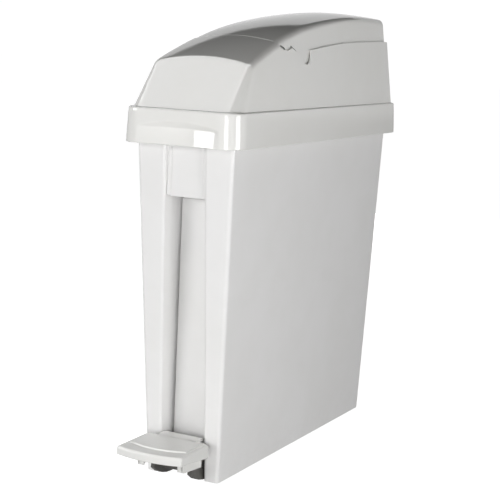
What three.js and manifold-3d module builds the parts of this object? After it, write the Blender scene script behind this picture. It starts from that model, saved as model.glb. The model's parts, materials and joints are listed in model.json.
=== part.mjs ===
// A slim pedal bin: a tapered tub with a front channel, a lift-off lid with a tilting flap,
// a pedal that raises the flap through a push rod and a rocker, and a liner bucket with a bail.
// Millimetres, +Z up. The pedal faces -Y. Shapes are drawn from the lid band's centre line,
// and the last group moves the whole bin so that the origin is the middle of its footprint.

import * as THREE from "three";
import { mergeVertices } from "three/addons/utils/BufferGeometryUtils.js";
import Module from "manifold-3d";

const wasm = await Module();
wasm.setup();

// ---- Driving dimensions ---------------------------------------------------------------
const GAP = 0.3; // between pieces that rest on each other
const RUN = 0.25; // around a pin in its hole

const TUB = {
  bottom: 1, top: 430.9, wall: 2.6, cornerFront: 4.5, cornerRear: 12,
  half: 48.2, front: -199.5, rear: 219.7, // at the floor
  halfLean: 0.0366, frontLean: -0.053, rearLean: 0.0183, // per mm of height
  floorUnder: 24, floorTop: 27,
  rimStart: 423, rimOut: 3.5,
};
const CHANNEL = { half: 29.3, halfLean: -0.0095, back: -163.5, edge: 3.4 };
const STRIP = { front: -179, thick: 2.5, bottom: 45.5, top: 424, halfBottom: 25, halfTop: 23.2 };
const HEAD_PANEL = {
  half: 22.6, front: -214, back: -181.5, bottom: 334, top: 392.6, wall: 2.5, corner: 5,
};
const FOOT = { radius: 6, x: 38.6, front: -188, rear: 196 };

const BAND = {
  bottom: 393.2, top: 433.8, halfBottom: 76.1, halfTop: 74.3, y: 240, corner: 24, wall: 2.5,
};
const MOUTH = { half: 53, front: -138, rear: 221, lip: 421, corner: 12 };
const GRIP = { radius: 163, depth: 6.3, top: 413, slope: 5.7 };

const HOOD = {
  base: 434.1, half: 71.4, front: -231.6, rear: 235.3, corner: 24, lean: 0.15, wall: 1.8,
  crestFront: -187.6, crestRear: 227, crestCorner: 7.5, crown: 0.002,
  rollFront: 3.7, rollSide: 7.8, rollRear: 4.9, flange: 9, flangeThick: 2.5,
};
// The lid's middle line from front to rear, as (y, z).
const RIDGE = [
  [-240, 472], [-181, 495.2], [-120, 515.1], [-60, 529.8],
  [0, 539.6], [60, 546.2], [120, 550.3], [175, 550.4], [235, 548.6],
];
// The line between hood and flap on the lid's sides, ahead of the pivot and behind it.
const SEAM_Y = -112.5;
const SEAM_FRONT_Z = 503.6;
const SEAM = [[-107, SEAM_FRONT_Z], [-93, 501.6], [-80, 505], [-65, 498], [-57.5, 497]];
const SEAM_REAR = [
  [-29.6, 503], [10, 507], [40, 509.7], [71, 512], [103, 513.3], [170, 515.1], [260, 515.6],
];
const FLAP = { side: 3.1, rear: 3.3, wall: 2, overlap: 4, earRadius: 14, bossRadius: 15.5 };
const FLAP_PIVOT = { y: -43.5, z: 500, pin: 3 };

const AXLE = { y: -197, z: 20, radius: 3 };
const PEDAL = {
  half: 43, rear: -215, frontSide: -276.5, frontMiddle: -283.5,
  base: 51, top: 52.5, lip: 41, lipRear: 35.5, skirt: 2.6, under: 49,
};
const PEDAL_ARM = {
  inner: 27.6, outer: 30.6, front: -250, frontZ: 24, rear: -208, rearZ: 20.5, heelZ: 34,
  shin: 22.2, shinThick: 2.5,
};
const PEDAL_TONGUE = { half: 26, rear: -197.5 };
const BRACKET = { inner: 22, outer: 27.2, foot: [-195, -166], footZ: [3, 30] };
const ROD = { y: -171.5, radius: 3, bottom: 33, top: 455, shoe: 5.2, footBottom: 26.4, capTop: 465.6 };
const ROCKER = { y: -151, z: 478, axle: 2.5, nose: 4, rollerY: -88, rollerZ: 500, rollerPin: 1.5 };
const CRANK = { shelf: 495.6, cheek: [11, 13.5], bridge: [-89, -77], thick: 3, screwY: -83 };
const LINER = {
  bottom: 27.3, top: 418, halfBottom: 45.5, halfTop: 58.3,
  front: -157, rearBottom: 213, rearTop: 220, wall: 1.8, corner: 10, rim: 2, rimHeight: 5,
};
const BAIL = { y: 30, z: 407, reach: 60, half: 46, tip: 55.6, wire: 2, bend: 9 };

const OFFSET_Y = (-PEDAL.frontMiddle - BAND.y) / 2;

const COLOURS = {
  body: 0xf0f0ee, lid: 0xf2f1ec, pedal: 0xeaeae6, strip: 0xe9e9e7, dark: 0x45443f,
  steel: 0xb9bcc0, rubber: 0x2b2b2c, nylon: 0xe6e2d6, liner: 0xb9bdc2,
};

// ---- Solids and helpers ---------------------------------------------------------------
function toSolid(geometry) {
  const bare = geometry.clone();
  for (const name of Object.keys(bare.attributes)) {
    if (name !== "position") bare.deleteAttribute(name);
  }
  const merged = mergeVertices(bare, 1e-4);
  const corners = merged.index.array;
  const faces = [];
  for (let i = 0; i < corners.length; i += 3) {
    const [a, b, c] = corners.slice(i, i + 3);
    if (a !== b && b !== c && c !== a) faces.push(a, b, c);
  }
  return new wasm.Manifold(new wasm.Mesh({
    numProp: 3,
    vertProperties: new Float32Array(merged.attributes.position.array),
    triVerts: new Uint32Array(faces),
  }));
}

function toGeometry(solid) {
  const mesh = solid.getMesh();
  const geometry = new THREE.BufferGeometry();
  geometry.setAttribute("position", new THREE.BufferAttribute(mesh.vertProperties, 3));
  geometry.setIndex(new THREE.BufferAttribute(mesh.triVerts, 1));
  geometry.computeVertexNormals();
  return geometry;
}

const join = (...solids) => solids.reduce((sum, solid) => sum.add(solid));
const cut = (solid, ...tools) => tools.reduce((rest, tool) => rest.subtract(tool), solid);

// A block between two opposite corners.
function block(low, high) {
  const size = high.map((value, i) => value - low[i]);
  const middle = high.map((value, i) => (value + low[i]) / 2);
  return toSolid(new THREE.BoxGeometry(...size).translate(...middle));
}

// A round bar along X.
function barX(radius, x0, x1, y, z, sides = 24) {
  const bar = new THREE.CylinderGeometry(radius, radius, x1 - x0, sides);
  return toSolid(bar.rotateZ(Math.PI / 2).translate((x0 + x1) / 2, y, z));
}

// A round bar along Z.
function barZ(radius, z0, z1, x, y, sides = 24) {
  const bar = new THREE.CylinderGeometry(radius, radius, z1 - z0, sides);
  return toSolid(bar.rotateX(Math.PI / 2).translate(x, y, (z0 + z1) / 2));
}

// A plate drawn in the (y, z) plane and given its thickness along X.
function plateX(points, x0, x1) {
  const shape = new THREE.Shape(points.map(([y, z]) => new THREE.Vector2(y, z)));
  const plate = new THREE.ExtrudeGeometry(shape, { depth: x1 - x0, bevelEnabled: false });
  const turn = new THREE.Matrix4().set(0, 0, 1, x0, 1, 0, 0, 0, 0, 1, 0, 0, 0, 0, 0, 1);
  return toSolid(plate.applyMatrix4(turn));
}

// Triangles that close a ring, as places in it.
function capFaces(ring) {
  return THREE.ShapeUtils.triangulateShape(ring.map(([x, y]) => new THREE.Vector2(x, y)), []);
}

// A closed solid through rings that hold the same number of points. It is capped at both ends,
// unless its last ring closes on itself along a line.
function loft(rings, capLast = true) {
  const count = rings[0].length;
  const index = [];
  for (let r = 0; r + 1 < rings.length; r++) {
    for (let i = 0; i < count; i++) {
      const a = r * count + i;
      const b = r * count + ((i + 1) % count);
      index.push(a, b, b + count, a, b + count, a + count);
    }
  }
  const last = (rings.length - 1) * count;
  for (const [a, b, c] of capFaces(rings[0])) index.push(a, c, b);
  if (capLast) {
    for (const [a, b, c] of capFaces(rings[rings.length - 1])) index.push(last + a, last + b, last + c);
  }
  const geometry = new THREE.BufferGeometry();
  geometry.setAttribute("position", new THREE.Float32BufferAttribute(rings.flat(2), 3));
  geometry.setIndex(index);
  return toSolid(geometry);
}

const atHeight = (outline, z) => outline.map(([x, y]) => [x, y, z]);

// Two distances from the middle plane, on one side of it, in rising order.
const span = (side, a, b) => [a * side, b * side].sort((p, q) => p - q);

function arc(cx, cy, radius, fromDegrees, toDegrees, steps) {
  return Array.from({ length: steps + 1 }, (_, i) => {
    const angle = THREE.MathUtils.degToRad(fromDegrees + ((toDegrees - fromDegrees) * i) / steps);
    return [cx + radius * Math.cos(angle), cy + radius * Math.sin(angle)];
  });
}

// A rounded rectangle, anticlockwise, with more points along its long sides and its ends if asked.
function roundedRect({ half, front, rear, corner, sides = 0, ends = 0 }) {
  const corners = [
    arc(half - corner, front + corner, corner, -90, 0, 6),
    arc(half - corner, rear - corner, corner, 0, 90, 6),
    arc(corner - half, rear - corner, corner, 90, 180, 6),
    arc(corner - half, front + corner, corner, 180, 270, 6),
  ];
  return corners.flatMap((points, i) => {
    const [x0, y0] = points[points.length - 1];
    const [x1, y1] = corners[(i + 1) % 4][0];
    const steps = i % 2 === 0 ? sides : ends;
    const between = Array.from({ length: steps }, (_, k) => {
      const t = (k + 1) / (steps + 1);
      return [x0 + (x1 - x0) * t, y0 + (y1 - y0) * t];
    });
    return [...points, ...between];
  });
}

// A tapered solid with rounded upright edges.
function taper(levels) {
  return loft(levels.map(({ z, ...outline }) => atHeight(roundedRect(outline), z)));
}

// ---- Tub ------------------------------------------------------------------------------
function channelHalf(z) {
  return CHANNEL.half + CHANNEL.halfLean * z;
}

// The tub's plan at height z, moved in or out: a rounded rectangle with the channel in its front.
function tubOutline(z, inset, outwards = 0) {
  const half = TUB.half + TUB.halfLean * z - inset + outwards;
  const front = TUB.front + TUB.frontLean * z + inset - outwards;
  const rear = TUB.rear + TUB.rearLean * z - inset + outwards;
  const [cornerFront, cornerRear] = [TUB.cornerFront - inset, TUB.cornerRear - inset];
  const notch = channelHalf(z) + inset;
  const back = CHANNEL.back + inset;
  const edge = CHANNEL.edge - inset;
  return atHeight([
    ...arc(half - cornerFront, front + cornerFront, cornerFront, -90, 0, 6),
    ...arc(half - cornerRear, rear - cornerRear, cornerRear, 0, 90, 6),
    ...arc(cornerRear - half, rear - cornerRear, cornerRear, 90, 180, 6),
    ...arc(cornerFront - half, front + cornerFront, cornerFront, 180, 270, 6),
    ...arc(-notch - edge, front + edge, edge, -90, 0, 4),
    [-notch, back],
    [notch, back],
    ...arc(notch + edge, front + edge, edge, 180, 270, 4),
  ], z);
}

function binBody() {
  const outside = loft([
    tubOutline(TUB.bottom, 0),
    tubOutline(TUB.rimStart, 0),
    tubOutline(TUB.rimStart + TUB.rimOut, 0, TUB.rimOut),
    tubOutline(TUB.top, 0, TUB.rimOut),
  ]);
  const inside = loft([tubOutline(TUB.floorTop, TUB.wall), tubOutline(TUB.top + 1, TUB.wall)]);
  const underside = loft([tubOutline(0, TUB.wall), tubOutline(TUB.floorUnder, TUB.wall)]);
  return cut(outside, inside, underside);
}

function rodCover() {
  const level = (z, half) => {
    const { front, thick } = STRIP;
    const rear = CHANNEL.back - 5;
    const inner = half - thick;
    return atHeight([
      [-half, front], [half, front], [half, rear], [inner, rear],
      [inner, front + thick], [-inner, front + thick], [-inner, rear], [-half, rear],
    ], z);
  };
  return loft([level(STRIP.bottom, STRIP.halfBottom), level(STRIP.top, STRIP.halfTop)]);
}

function channelHeadPanel() {
  const { half, front, back, bottom, top, wall, corner } = HEAD_PANEL;
  const lugInset = 12;
  const shell = loft([
    atHeight(roundedRect({ half, front, rear: back, corner }), bottom),
    atHeight(roundedRect({ half, front, rear: back, corner }), top),
  ]);
  const hollow = block([corner - half, front + wall, bottom + wall], [half - corner, back + 1, top - wall]);
  const lug = (side) => {
    const [x0, x1] = span(side, half - 2, channelHalf(top) - GAP);
    return block([x0, back - 6, bottom + lugInset], [x1, back - 1, top - lugInset]);
  };
  return cut(join(shell, lug(-1), lug(1)), hollow);
}

// A block that steadies the push rod between the channel's back and the cover strip.
function rodGuide(z) {
  const plate = block([-12, STRIP.front + STRIP.thick + GAP, z], [12, CHANNEL.back - GAP, z + 12]);
  return cut(plate, barZ(ROD.radius + RUN, z - 1, z + 13, 0, ROD.y));
}

function rubberFoot(x, y) {
  return barZ(FOOT.radius, 0, TUB.floorUnder - GAP, x, y, 20);
}

// ---- Pedal and its bracket ------------------------------------------------------------
function pedalBracket(side) {
  const cheek = [
    [-226, 15], [-217, 8.6], [-207, 4.6], [-197, 2.2], [-189, 1.5], [-166, 1.5],
    [-166, 14], [-176, 36], [-206, 36], [-224, 25],
  ];
  const { inner, outer, foot: [footFront, footRear], footZ: [footLow, footHigh] } = BRACKET;
  const [x0, x1] = span(side, inner, outer);
  const [f0, f1] = span(side, outer - 1, channelHalf(footHigh) - GAP);
  const foot = block([f0, footFront, footLow], [f1, footRear, footHigh]);
  const hole = barX(AXLE.radius + RUN, x0 - 4, x1 + 4, AXLE.y, AXLE.z);
  return cut(join(plateX(cheek, x0, x1), foot), hole);
}

function bracketScrew(side) {
  const [x0, x1] = span(side, 19.6, BRACKET.inner - GAP);
  return barX(2.6, x0, x1, -181.5, 31.5, 16);
}

function pedalLever() {
  const web = [[-190, 13], [-200, 12.2], [-262, 38], [-262, 48.6], [-218, 48.6], [-189, 27]];
  const finger = [[-200, 14], [ROD.y, 18], [ROD.y, 26], [-197, 28]];
  const middle = [[-196, 13], [-214, 13.5], [-214, 34], [-196, 28]];
  const lever = join(
    barX(8, -20, 20, AXLE.y, AXLE.z, 28),
    plateX(web, -20, -15),
    plateX(web, 15, 20),
    plateX(middle, -16, 16),
    plateX(finger, -7, 7),
    barX(4, -7, 7, ROD.y, AXLE.z + 2, 20),
  );
  return cut(lever, barX(AXLE.radius + RUN, -21, 21, AXLE.y, AXLE.z));
}

// The pedal's plan: straight sides and rear, and a front edge that bows forwards.
function pedalOutline(half, rear, frontSide, frontMiddle) {
  const bow = Array.from({ length: 13 }, (_, i) => {
    const t = i / 6 - 1;
    return [t * half, frontMiddle + (frontSide - frontMiddle) * t * t];
  });
  return [...bow, [half, rear], [-half, rear]];
}

function pedalPlate() {
  const { half, rear, frontSide, frontMiddle, base, top, lip, lipRear, skirt, under: underTop } = PEDAL;
  const outer = pedalOutline(half, rear, frontSide, frontMiddle);
  const under = pedalOutline(half - skirt, rear + 5, frontSide + skirt, frontMiddle + skirt);
  const tread = pedalOutline(39.6, rear, -255.5, -265);
  const treadTop = pedalOutline(38.6, rear, -254, -263);
  const dish = loft([atHeight(outer, 30), atHeight(outer, base)]);
  const hollow = loft([atHeight(under, 20), atHeight(under, underTop)]);
  const lipLine = [[-300, 0], [-190, 0], [-190, lipRear], [-217, lipRear], [-262, lip], [-300, lip]];
  const below = plateX(lipLine, -60, 60);
  const plateau = loft([atHeight(tread, base - 1), atHeight(tread, base), atHeight(treadTop, top)]);
  const { inner, outer: armOuter, front, frontZ, rear: armRear, rearZ, heelZ, shin, shinThick } = PEDAL_ARM;
  const arm = [
    [front, frontZ], [armRear, rearZ], [armRear, heelZ], [rear + 1, heelZ + 6], [rear + 1, base - 1],
    [front, base - 1],
  ];
  const shinAt = (side) => {
    const [x0, x1] = span(side, shin, armOuter);
    return block([x0, front, frontZ], [x1, front + shinThick, base - 1]);
  };
  const tongue = PEDAL_TONGUE;
  return join(
    cut(dish, hollow, below),
    plateau,
    block([-tongue.half, rear - 1, underTop], [tongue.half, tongue.rear, top]),
    plateX(arm, ...span(1, inner, armOuter)),
    plateX(arm, ...span(-1, inner, armOuter)),
    shinAt(1),
    shinAt(-1),
  );
}

// ---- Push rod -------------------------------------------------------------------------
function rodShoe() {
  return barZ(ROD.shoe, ROD.footBottom, ROD.bottom - GAP, 0, ROD.y, 28);
}

function rodCap() {
  return barZ(5, ROD.top + GAP, ROD.capTop, 0, ROD.y, 28);
}

// ---- Lid: band, hood and the rocker's bracket ------------------------------------------
function lidBand() {
  const { bottom, top, halfBottom, halfTop, y, corner, wall } = BAND;
  const end = y - (halfBottom - halfTop);
  const ring = (z, half, reach, radius) => ({ z, half, front: -reach, rear: reach, corner: radius });
  const outside = taper([
    ring(bottom, halfBottom, y, corner),
    ring(top - 1.5, halfTop + 0.2, end + 0.2, corner),
    ring(top, halfTop - 1, end - 1, corner - 1),
  ]);
  const inside = taper([
    ring(bottom - 1, halfBottom - wall, y - wall, corner - wall),
    ring(top - wall, halfTop - wall, end - wall, corner - wall),
  ]);
  const mouth = (inset) => taper([MOUTH.lip - 1, top + 1].map((z) => ({
    z,
    half: MOUTH.half - inset,
    front: MOUTH.front + inset,
    rear: MOUTH.rear - inset,
    corner: MOUTH.corner,
  })));
  const lip = mouth(-1.8).intersect(block([-100, -300, MOUTH.lip], [100, 300, top]));
  const gripBack = block([-52, -237.9, bottom], [52, -231.5, 421]);
  const shell = join(cut(outside, inside), lip, gripBack);
  const rodHole = barZ(8.5, top - 10, top + 5, 0, ROD.y);
  return cut(shell, mouth(0), rodHole, gripRecess());
}

// The finger grip: an upright hollow cylinder's face that meets the band's front, with a slope above it.
function gripRecess() {
  const { radius, depth, top, slope } = GRIP;
  const front = -BAND.y - 12;
  const halfAngle = 24;
  const face = (z, forwards) => atHeight([
    ...arc(0, depth - BAND.y - radius - forwards, radius, 90 - halfAngle, 90 + halfAngle, 24),
    [-70, front - forwards],
    [70, front - forwards],
  ], z);
  return loft([face(BAND.bottom - 2, 0), face(top, 0), face(top + slope * 1.5, depth * 1.5)]);
}

const ridge = new THREE.CatmullRomCurve3(RIDGE.map(([y, z]) => new THREE.Vector3(0, y, z)));
const ridgePoints = ridge.getPoints(200);

// Height of the lid's top surface over the point (x, y).
function lidTop(x, y) {
  let i = ridgePoints.findIndex((point) => point.y > y);
  if (i < 1) i = i < 0 ? ridgePoints.length - 1 : 1;
  const [a, b] = [ridgePoints[i - 1], ridgePoints[i]];
  const t = (y - a.y) / (b.y - a.y);
  return a.z + (b.z - a.z) * t - HOOD.crown * x * x;
}

// The lid's outer form, moved inwards at its sides, rear and top.
function lidForm({ side = 0, rear = 0, top = 0, base = HOOD.base }) {
  const lines = { sides: 16, ends: 8 };
  const foot = roundedRect({
    ...lines, corner: HOOD.corner, half: HOOD.half - side, front: HOOD.front + side, rear: HOOD.rear - rear,
  });
  const planHalf = 60; // only the shape of the crest's plan: its half width is set below
  const crestPlan = roundedRect({
    ...lines,
    corner: HOOD.crestCorner,
    half: planHalf,
    front: HOOD.crestFront + side,
    rear: HOOD.crestRear - rear,
  });
  // The sides lean in, so the crest's half width and height are found together.
  const crest = crestPlan.map(([x, y]) => {
    let wide = x;
    for (let pass = 0; pass < 8; pass++) {
      wide = (x * (HOOD.half - side - HOOD.lean * (lidTop(wide, y) - top - HOOD.base))) / planHalf;
    }
    return [wide, y, lidTop(wide, y) - top];
  });
  const [spineFront, spineRear] = [HOOD.crestFront + 62, HOOD.crestRear - 58];
  const inner = crest.map(([, y]) => [0, THREE.MathUtils.clamp(y, spineFront, spineRear)]);
  const rolls = crestPlan.map(([x, y]) => {
    const dx = Math.max(Math.abs(x) - planHalf + HOOD.crestCorner, 0);
    const front = Math.max(HOOD.crestFront + side + HOOD.crestCorner - y, 0);
    const back = Math.max(y - HOOD.crestRear + rear + HOOD.crestCorner, 0);
    const along = (front + back) ** 2 / (dx ** 2 + (front + back) ** 2);
    return HOOD.rollSide * (1 - along) + (front > 0 ? HOOD.rollFront : HOOD.rollRear) * along;
  });
  const low = crest.map(([x, y, z], i) => {
    const [fx, fy] = foot[i];
    const t = rolls[i] / Math.hypot(x - fx, y - fy, z - HOOD.base);
    return [x + (fx - x) * t, y + (fy - y) * t, z + (HOOD.base - z) * t];
  });
  const topRing = (distances) => crest.map(([x, y], i) => {
    const [ix, iy] = inner[i];
    const t = distances[i] / Math.hypot(ix - x, iy - y);
    const [px, py] = [x + (ix - x) * t, y + (iy - y) * t];
    return [px, py, lidTop(px, py) - top];
  });
  const high = topRing(rolls);
  const bend = (t) => low.map((p, i) => p.map((value, k) => (
    (1 - t) ** 2 * value + 2 * t * (1 - t) * crest[i][k] + t * t * high[i][k]
  )));
  return loft([
    ...(base < HOOD.base ? [atHeight(foot, base)] : []),
    atHeight(foot, HOOD.base),
    low, bend(0.25), bend(0.5), bend(0.75), high,
    topRing(rolls.map(() => 20)), topRing(rolls.map(() => 38)),
    inner.map(([x, y]) => [x, y, lidTop(x, y) - top]),
  ], false);
}

// Everything above the seam between hood and flap, as seen from the side; the ear is a round notch.
function aboveSeam() {
  const { y, z } = FLAP_PIVOT;
  const profile = [[SEAM_Y, 600], [SEAM_Y, SEAM_FRONT_Z], ...SEAM, ...SEAM_REAR, [260, 600]];
  const ear = barX(FLAP.earRadius, -100, 100, y, z, 48);
  return join(plateX(profile, -100, 100), ear);
}

function hoodShell() {
  const shell = cut(
    lidForm({}),
    lidForm({ side: HOOD.wall, rear: HOOD.wall, top: HOOD.wall, base: HOOD.base - 4 }),
  );
  const flangeTop = HOOD.base + HOOD.flangeThick;
  const ring = ({ z, side, front, rear, corner }) => ({
    z, half: HOOD.half - side, front: HOOD.front + front, rear: HOOD.rear - rear, corner,
  });
  const flange = taper([HOOD.base, flangeTop].map((z) => (
    ring({ z, side: 1, front: 2.6, rear: 1.2, corner: 23 })
  )));
  const opening = taper([HOOD.base - 1, flangeTop + 1].map((z) => (
    ring({ z, side: HOOD.flange, front: HOOD.flange + 6, rear: HOOD.flange, corner: 14 })
  )));
  return join(cut(shell, aboveSeam()), cut(flange, opening));
}

function rockerBracket() {
  const base = block([-16, -163, HOOD.base + 0.1], [16, -139, 437]);
  const cheek = [[-162, 436], [-140, 436], [-144, 486], [-158, 486]];
  const cheeks = join(plateX(cheek, -14, -10.5), plateX(cheek, 10.5, 14));
  return cut(join(base, cheeks), barX(ROCKER.axle + RUN, -20, 20, ROCKER.y, ROCKER.z));
}

// The bracket that carries the flap's pivot pin, inside the flap's side wall.
function pivotBracket(side) {
  const [x0, x1, foot] = [49.5, 53.5, 60];
  const { y, z, pin } = FLAP_PIVOT;
  const plate = [
    [y - 14, 435], [y + 14, 435], [y + 9, z + 4], [y + 4, z + 9], [y - 4, z + 9], [y - 9, z + 4],
  ];
  const [f0, f1] = span(side, x0, foot);
  const base = block([f0, y - 14, HOOD.base + 0.1], [f1, y + 14, 438]);
  const upright = plateX(plate, ...span(side, x0, x1));
  return cut(join(upright, base), barX(pin + RUN, ...span(side, 40, 60), y, z));
}

function pivotPin(side) {
  return barX(FLAP_PIVOT.pin, ...span(side, 48.5, 56.2), FLAP_PIVOT.y, FLAP_PIVOT.z);
}

function flapBumper(side) {
  const [x0, x1] = span(side, 36, 46);
  return block([x0, 220.5, 499], [x1, 227.5, 510.8]);
}

// ---- Rocker and flap ------------------------------------------------------------------
function rockerLever() {
  const { y, z, nose, rollerY, rollerZ, rollerPin } = ROCKER;
  const noseZ = ROD.capTop + 0.4 + nose;
  const front = [[y - 1, z - 6], [y + 3, z + 6], [ROD.y, noseZ + 4], [ROD.y, noseZ - 3.5]];
  const neck = [
    [y, z - 4], [-108, z + 1], [-101, 484], [-98, 497.2], [-86, 498],
    [-86, 502.6], [-90, 504], [-103, 504], [-108, 490], [-113, z + 8], [y, z + 8],
  ];
  const arms = (x0, x1) => plateX(neck, x0, x1);
  const lever = join(
    barX(8, -9.8, 9.8, y, z, 28),
    plateX(front, -6, 6),
    barX(nose, -6, 6, ROD.y, noseZ, 20),
    arms(-8, -4.6),
    arms(4.6, 8),
  );
  return cut(
    lever,
    barX(ROCKER.axle + RUN, -12, 12, y, z),
    barX(rollerPin + RUN, -12, 12, rollerY, rollerZ, 16),
  );
}

function rockerRoller() {
  const { nose, rollerY, rollerZ, rollerPin } = ROCKER;
  const roller = barX(nose, -4.3, 4.3, rollerY, rollerZ, 28);
  return cut(roller, barX(rollerPin + RUN, -6, 6, rollerY, rollerZ, 16));
}

function flapShell() {
  const { side, rear, wall, overlap, bossRadius } = FLAP;
  const { y, z, pin } = FLAP_PIVOT;
  const shell = cut(
    lidForm({ side, rear }),
    lidForm({ side: side + wall, rear: rear + wall, top: wall, base: HOOD.base - 4 }),
  );
  const edge = [[SEAM_Y + 1, 600], [SEAM_Y + 1, 499], [-64, 494]];
  const rearEdge = SEAM_REAR.map(([a, b]) => [a, b - overlap]);
  const region = join(
    plateX([...edge, ...rearEdge, [260, 600]], -100, 100),
    barX(bossRadius, -100, 100, y, z, 48),
  );
  const boss = (s) => barX(7, ...span(s, 53.9, 57.8), y, z);
  const bore = barX(pin + RUN, -56.6, 56.6, y, z);
  return cut(join(shell.intersect(region), boss(-1), boss(1)), bore);
}

// Height of a piece that is screwed under the flap's skin, over y.
const underFlap = (y) => lidTop(CRANK.cheek[1], y) - FLAP.wall - 2 * GAP;

// The crank under the flap: the rocker's roller presses its shelf down, ahead of the pivot.
function flapCrank() {
  const { shelf, thick } = CRANK;
  const [x0, x1] = CRANK.cheek;
  const [front, rear] = CRANK.bridge;
  const cheek = [
    [-97, underFlap(-97)], [rear, underFlap(rear)], [-76, shelf - thick], [-95, shelf - thick],
  ];
  const bridge = [
    [front, underFlap(front)], [rear, underFlap(rear)],
    [rear, underFlap(rear) - thick], [front, underFlap(front) - thick],
  ];
  return join(
    plateX(cheek, -x1, -x0),
    plateX(cheek, x0, x1),
    plateX(bridge, -x1, x1),
    block([-x1, -95, shelf - thick], [x1, -76, shelf]),
  );
}

function crankScrew(side) {
  const top = underFlap(CRANK.screwY - 3) - CRANK.thick - GAP;
  return barZ(3, top - 2.2, top, side * 6.5, CRANK.screwY, 16);
}

// ---- Liner bucket and bail ------------------------------------------------------------
function linerBucket() {
  const { bottom, top, halfBottom, halfTop, front, rearBottom, rearTop } = LINER;
  const { wall, corner, rim, rimHeight } = LINER;
  const ring = (z, half, rear, inset) => ({
    z, half: half - inset, front: front + inset, rear: rear - inset, corner: corner - inset,
  });
  const outside = taper([
    ring(bottom, halfBottom, rearBottom, 0),
    ring(top - rimHeight - 1, halfTop, rearTop, 0),
    ring(top - rimHeight, halfTop, rearTop, -rim),
    ring(top, halfTop, rearTop, -rim),
  ]);
  const inside = taper([
    ring(bottom + wall, halfBottom, rearBottom, wall),
    ring(top + 1, halfTop, rearTop, wall),
  ]);
  return cut(outside, inside);
}

function bailBoss(side) {
  const [x0, x1] = span(side, 51, BAIL.tip - 0.4);
  return cut(barX(5, x0, x1, BAIL.y, BAIL.z), barX(BAIL.wire + RUN, x0 - 1, x1 + 1, BAIL.y, BAIL.z));
}

function bail() {
  const { y, z, reach, half, tip, wire, bend } = BAIL;
  const at = (x, dy) => new THREE.Vector3(x, y + dy, z);
  const path = new THREE.CurvePath();
  const line = (a, b) => path.add(new THREE.LineCurve3(a, b));
  const turn = (a, b, c) => path.add(new THREE.QuadraticBezierCurve3(a, b, c));
  line(at(-tip, 0), at(-half - 3, 0));
  turn(at(-half - 3, 0), at(-half, 0), at(-half, 3));
  line(at(-half, 3), at(-half, reach - bend));
  turn(at(-half, reach - bend), at(-half, reach), at(bend - half, reach));
  line(at(bend - half, reach), at(half - bend, reach));
  turn(at(half - bend, reach), at(half, reach), at(half, reach - bend));
  line(at(half, reach - bend), at(half, 3));
  turn(at(half, 3), at(half, 0), at(half + 3, 0));
  line(at(half + 3, 0), at(tip, 0));
  const section = new THREE.Shape().absarc(0, 0, wire, 0, 2 * Math.PI);
  const along = { extrudePath: path, steps: 56, curveSegments: 4 };
  return toSolid(new THREE.ExtrudeGeometry(section, along));
}

// ---- Assembly -------------------------------------------------------------------------
const bin = new THREE.Group();
const sides = [["left", -1], ["right", 1]];

function add(name, solid, colour, roughness = 0.35, metalness = 0) {
  const material = new THREE.MeshStandardMaterial({ color: colour, roughness, metalness });
  const mesh = new THREE.Mesh(toGeometry(solid), material);
  mesh.name = name;
  bin.add(mesh);
}

function addTub() {
  add("bin_body", binBody(), COLOURS.body);
  add("rod_cover_strip", rodCover(), COLOURS.strip);
  add("channel_head_panel", channelHeadPanel(), COLOURS.strip);
  add("rod_guide_lower", rodGuide(96), COLOURS.nylon);
  add("rod_guide_upper", rodGuide(352), COLOURS.nylon);
  for (const end of ["front", "rear"]) {
    for (const [name, side] of sides) {
      add(`foot_${end}_${name}`, rubberFoot(side * FOOT.x, FOOT[end]), COLOURS.rubber, 0.85);
    }
  }
}

function addPedal() {
  for (const [name, side] of sides) {
    add(`pedal_bracket_${name}`, pedalBracket(side), COLOURS.dark, 0.6);
    add(`bracket_screw_${name}`, bracketScrew(side), COLOURS.steel, 0.35, 0.9);
  }
  add("pedal_axle", barX(AXLE.radius, -26.8, 26.8, AXLE.y, AXLE.z), COLOURS.steel, 0.3, 0.9);
  add("pedal_plate", pedalPlate(), COLOURS.pedal);
  add("pedal_lever", pedalLever(), COLOURS.dark, 0.6);
}

function addRod() {
  add("push_rod", barZ(ROD.radius, ROD.bottom, ROD.top, 0, ROD.y), COLOURS.steel, 0.3, 0.9);
  add("rod_shoe", rodShoe(), COLOURS.dark, 0.5);
  add("rod_cap", rodCap(), COLOURS.nylon, 0.5);
}

function addLid() {
  add("lid_band", lidBand(), COLOURS.lid, 0.25);
  add("hood_shell", hoodShell(), COLOURS.lid, 0.2);
  add("rocker_bracket", rockerBracket(), COLOURS.dark, 0.6);
  add("rocker_axle", barX(ROCKER.axle, -13.8, 13.8, ROCKER.y, ROCKER.z), COLOURS.steel, 0.3, 0.9);
  for (const [name, side] of sides) {
    add(`pivot_bracket_${name}`, pivotBracket(side), COLOURS.dark, 0.6);
    add(`flap_pivot_pin_${name}`, pivotPin(side), COLOURS.steel, 0.3, 0.9);
    add(`flap_bumper_${name}`, flapBumper(side), COLOURS.rubber, 0.85);
    for (const [end, y] of [["front", -110], ["rear", 110]]) {
      const screw = barZ(3.2, 436.9, 439.3, side * 65, y, 16);
      add(`hood_screw_${end}_${name}`, screw, COLOURS.steel, 0.35, 0.9);
    }
  }
}

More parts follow.
